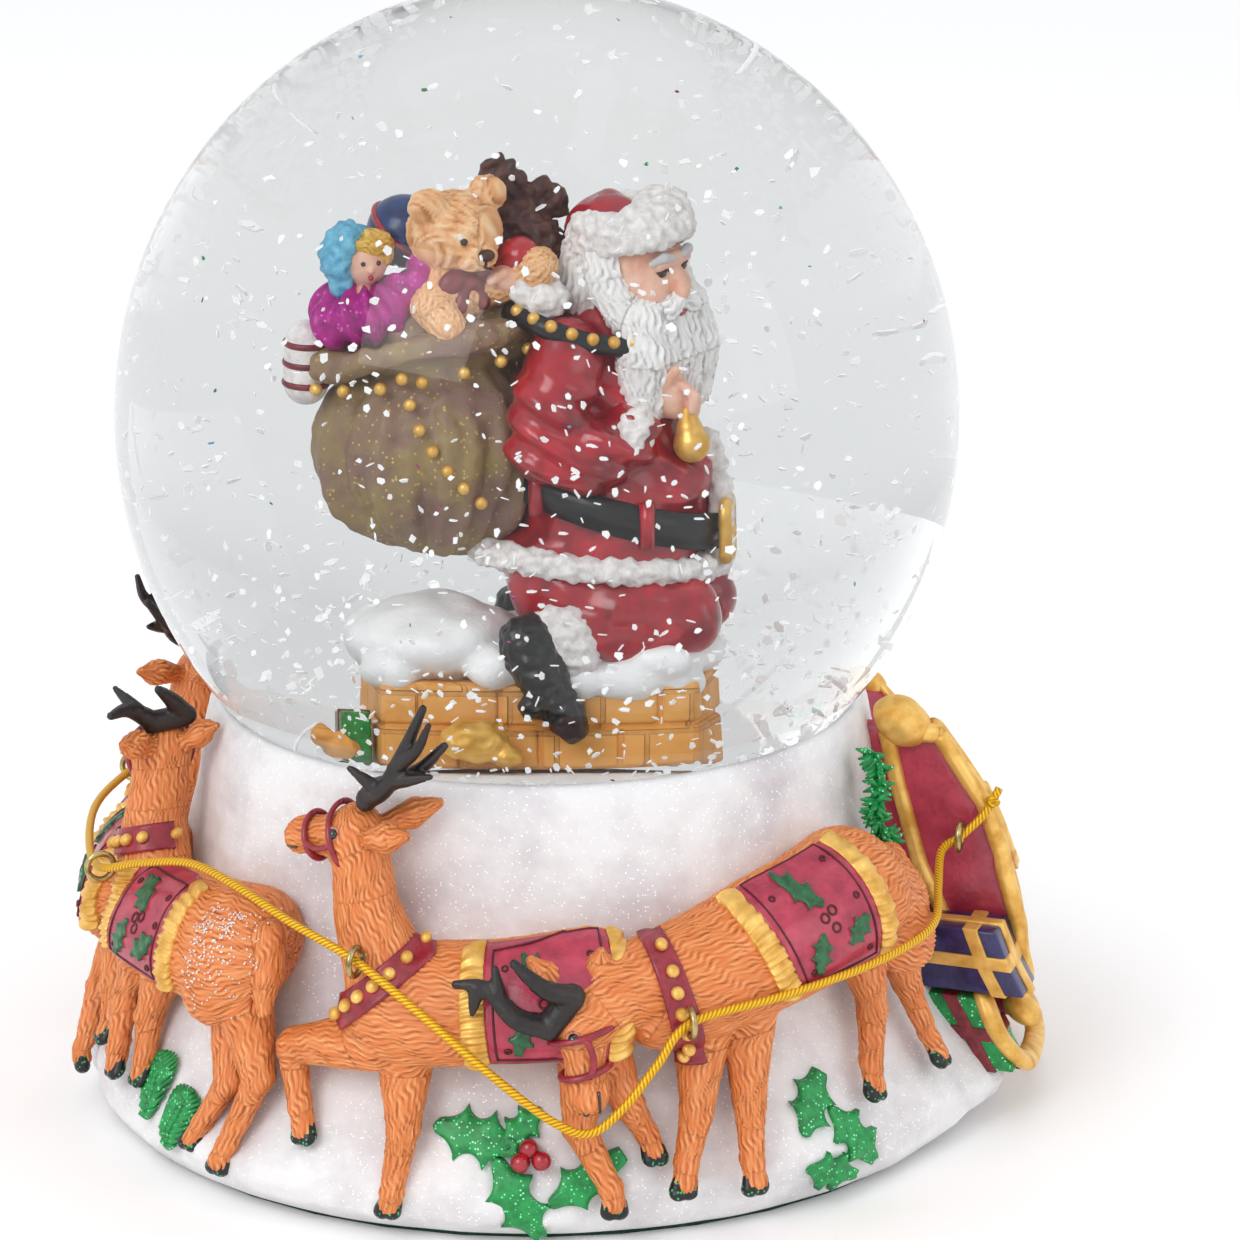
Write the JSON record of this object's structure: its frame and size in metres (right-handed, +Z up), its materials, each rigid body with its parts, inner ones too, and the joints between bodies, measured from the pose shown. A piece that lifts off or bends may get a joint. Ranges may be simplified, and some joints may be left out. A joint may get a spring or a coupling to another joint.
{
  "type": "musical snow globe",
  "caption": "Wind-up musical water globe: a Father Christmas figure with a toy sack on a chimney, over a round snowy base with a reindeer team, a sleigh and a gold rein cord.",
  "frame": {"origin": "middle of the footprint on the table, under the felt ring", "axes": "+Z up; -Y is the front, where the second reindeer lifts its leg; +X is towards the sleigh"},
  "size_m": [0.1183, 0.118, 0.1341],
  "materials": {
    "antler resin": "dark brown, semi-matt",
    "black plastic": "satin",
    "blue lacquer": "glossy",
    "brass": "antique",
    "brick paint": "tan brick",
    "cord": "gold wound elastic",
    "felt": "napped",
    "fur resin": "carved orange-brown fur, semi-matt",
    "glass": "clear, water filled",
    "gold paint": "metallic gold paint",
    "green lacquer": "glossy",
    "red lacquer": "glossy",
    "rubber": "dull black",
    "sack paint": "brown with gold dry brushing",
    "snow resin": "matt white snow with fine glitter",
    "steel": "bright",
    "toy paint": "painted in several colours"
  },
  "bodies": {
    "globe": {"antlers_1": "antler resin", "antlers_2": "antler resin", "antlers_3": "antler resin", "antlers_4": "antler resin", "antlers_5": "antler resin", "antlers_6": "antler resin", "base_casting": "snow resin", "blue_gift": "blue lacquer", "bottom_plate": "black plastic", "candy_roll": "snow resin", "chimney": "brick paint", "chimney_snow": "snow resin", "comb_screw_1": "steel", "comb_screw_2": "steel", "felt_ring": "felt", "floor_gift": "green lacquer", "glass_globe": "glass", "gold_bell": "gold paint", "governor_bracket": "brass", "green_gift": "green lacquer", "mainspring": "steel", "moose_toy": "toy paint", "movement_frame": "steel", "movement_screw_1": "steel", "movement_screw_2": "steel", "neck_plug": "rubber", "plate_screw_1": "steel", "plate_screw_2": "steel", "plate_screw_3": "steel", "rag_doll": "toy paint", "rein_cord": "cord", "reindeer_1": "fur resin", "reindeer_2": "fur resin", "reindeer_3": "fur resin", "reindeer_4": "fur resin", "reindeer_5": "fur resin", "reindeer_6": "fur resin", "santa_figure": "red lacquer", "screw_eye_1": "brass", "screw_eye_2": "brass", "screw_eye_3": "brass", "screw_eye_4": "brass", "screw_eye_5": "brass", "screw_eye_6": "brass", "sleigh_body": "red lacquer", "sleigh_eye": "brass", "sleigh_runner": "gold paint", "snow_mound": "snow resin", "spring_housing": "brass", "teddy_bear": "toy paint", "tone_comb": "steel", "toy_ball": "blue lacquer", "toy_sack": "sack paint"},
    "key": {"winding_key": "steel", "winding_arbor": "steel", "drive_wheel": "brass"},
    "drum": {"music_drum": "brass", "drum_arbor": "steel"},
    "governor": {"governor_wheel": "brass"},
    "fan": {"governor_fan": "steel"}
  },
  "joints": [
    {"name": "key_turn", "type": "hinge", "parent": "globe", "child": "key", "pos_m": [-0.0145, 0.0075, 0.005], "axis": [0, 0, 1], "continuous": true},
    {"name": "drum_turn", "type": "hinge", "parent": "globe", "child": "drum", "pos_m": [0.0085, 0.0075, 0.0175], "axis": [1, 0, 0], "continuous": true},
    {"name": "governor_turn", "type": "hinge", "parent": "globe", "child": "governor", "pos_m": [0.019, -0.00034, 0.0185], "axis": [1, 0, 0], "continuous": true},
    {"name": "fan_turn", "type": "hinge", "parent": "globe", "child": "fan", "pos_m": [0.0217, -0.00594, 0.015], "axis": [0, 0, 1], "continuous": true}
  ],
  "couplings": [
    {"joint": "drum_turn", "follows": "key_turn", "ratio": -2.6667},
    {"joint": "governor_turn", "follows": "key_turn", "ratio": 10.667},
    {"joint": "fan_turn", "follows": "key_turn", "ratio": 256}
  ]
}
